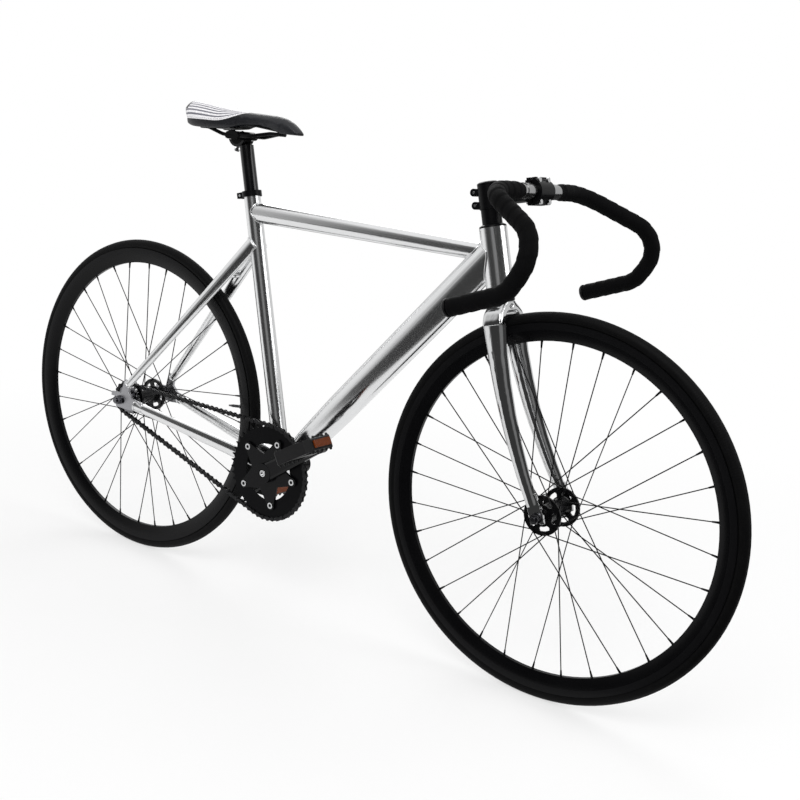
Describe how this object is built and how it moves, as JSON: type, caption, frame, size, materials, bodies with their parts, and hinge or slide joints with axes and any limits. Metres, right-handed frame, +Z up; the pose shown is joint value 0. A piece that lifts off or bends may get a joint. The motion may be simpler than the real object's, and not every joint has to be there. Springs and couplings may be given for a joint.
{
  "type": "fixed gear bicycle",
  "caption": "Fixed gear track bicycle with a bare metal diamond frame, plated fork, deep black rims, drop bar and a direct chain drive without brakes.",
  "frame": {"origin": "on the ground, in the middle plane, halfway between the two wheel axles", "axes": "+X forward, +Y to the rider's left, +Z up; the chain is on the right at negative Y"},
  "size_m": [1.6589, 0.4928, 0.9588],
  "materials": {
    "bare_alloy": "brushed and clear coated",
    "polished_steel": "bright plated",
    "silver_alloy": "polished",
    "black_alloy": "black anodised",
    "black_steel": "black oxide",
    "plain_steel": "machined",
    "tyre_rubber": "matt",
    "bar_tape": "fine grained cork tape",
    "saddle_leather": "smooth, white behind and black in front",
    "black_resin": "moulded",
    "amber_lens": "prismatic"
  },
  "bodies": {
    "frame": {"head_tube": "bare_alloy", "top_tube": "bare_alloy", "down_tube": "bare_alloy", "seat_tube": "bare_alloy", "bottom_bracket_shell": "bare_alloy", "chain_stay_left": "bare_alloy", "chain_stay_right": "bare_alloy", "seat_stay_left": "bare_alloy", "seat_stay_right": "bare_alloy", "track_ends": "polished_steel", "brake_bridge": "bare_alloy", "seat_collar": "black_alloy", "seat_collar_bolt": "plain_steel", "headset_bearings": "plain_steel", "bottom_bracket_cups": "plain_steel", "rear_axle": "plain_steel", "rear_axle_nuts": "plain_steel", "chain_inner_links": "black_steel", "chain_outer_links": "black_steel"},
    "seat_post": {"seatpost": "black_alloy"},
    "saddle": {"saddle_clamp_upper": "black_steel", "saddle_clamp_lower": "black_steel", "saddle_clamp_bolt": "plain_steel", "saddle_rails": "black_steel", "saddle_shell": "black_resin", "saddle_cover": "saddle_leather"},
    "steering": {"fork_crown": "polished_steel", "fork_blade_left": "polished_steel", "fork_blade_right": "polished_steel", "fork_tips": "polished_steel", "headset_spacers": "black_alloy", "stem": "black_alloy", "stem_faceplate": "black_alloy", "stem_bolts": "plain_steel", "stem_cap": "black_alloy", "front_axle": "plain_steel", "front_axle_nuts": "plain_steel"},
    "drop_bar": {"handlebar": "silver_alloy", "bar_tape_left": "bar_tape", "bar_tape_right": "bar_tape"},
    "front_wheel": {"front_hub": "black_alloy", "front_spokes": "black_steel", "front_rim": "black_alloy", "front_tyre": "tyre_rubber"},
    "rear_wheel": {"rear_hub": "black_alloy", "rear_spokes": "black_steel", "rear_rim": "black_alloy", "rear_tyre": "tyre_rubber", "rear_cog": "plain_steel", "rear_lockring": "plain_steel"},
    "crankset": {"crank_spindle": "plain_steel", "crank_left": "black_alloy", "crank_right": "black_alloy", "chainring": "black_alloy", "crank_bolts": "plain_steel", "pedal_axles": "plain_steel"},
    "right_pedal": {"pedal_right": "black_resin", "pedal_reflectors_right": "amber_lens"},
    "left_pedal": {"pedal_left": "black_resin", "pedal_reflectors_left": "amber_lens"}
  },
  "joints": [
    {"name": "steering_turn", "type": "hinge", "parent": "frame", "child": "steering", "pos_m": [0.32342, 0, 0.78689], "axis": [-0.2588, 0, 0.9659], "range_deg": [-60, 60]},
    {"name": "front_wheel_spin", "type": "hinge", "parent": "steering", "child": "front_wheel", "pos_m": [0.4955, 0, 0.334], "axis": [0, 1, 0], "continuous": true},
    {"name": "crank_turn", "type": "hinge", "parent": "frame", "child": "crankset", "pos_m": [-0.09263, 0, 0.268], "axis": [0, 1, 0], "continuous": true, "deforming": ["chain_inner_links", "chain_outer_links"]},
    {"name": "rear_wheel_spin", "type": "hinge", "parent": "frame", "child": "rear_wheel", "pos_m": [-0.4955, 0, 0.334], "axis": [0, 1, 0], "continuous": true},
    {"name": "right_pedal_spin", "type": "hinge", "parent": "crankset", "child": "right_pedal", "pos_m": [0.04653, -0.114, 0.35665], "axis": [0, 1, 0], "continuous": true},
    {"name": "left_pedal_spin", "type": "hinge", "parent": "crankset", "child": "left_pedal", "pos_m": [-0.23179, 0.114, 0.17935], "axis": [0, 1, 0], "continuous": true},
    {"name": "seat_height", "type": "slide", "parent": "frame", "child": "seat_post", "axis": [-0.2334, 0, 0.9724], "range_m": [-0.05, 0.06]},
    {"name": "saddle_tilt", "type": "hinge", "parent": "seat_post", "child": "saddle", "pos_m": [-0.2541, 0, 0.89843], "axis": [0, 1, 0], "range_deg": [-8, 8]},
    {"name": "bar_roll", "type": "hinge", "parent": "steering", "child": "drop_bar", "pos_m": [0.40053, 0, 0.85371], "axis": [0, 1, 0], "range_deg": [-10, 10]}
  ],
  "couplings": [
    {"joint": "rear_wheel_spin", "follows": "crank_turn", "ratio": 2.875}
  ]
}
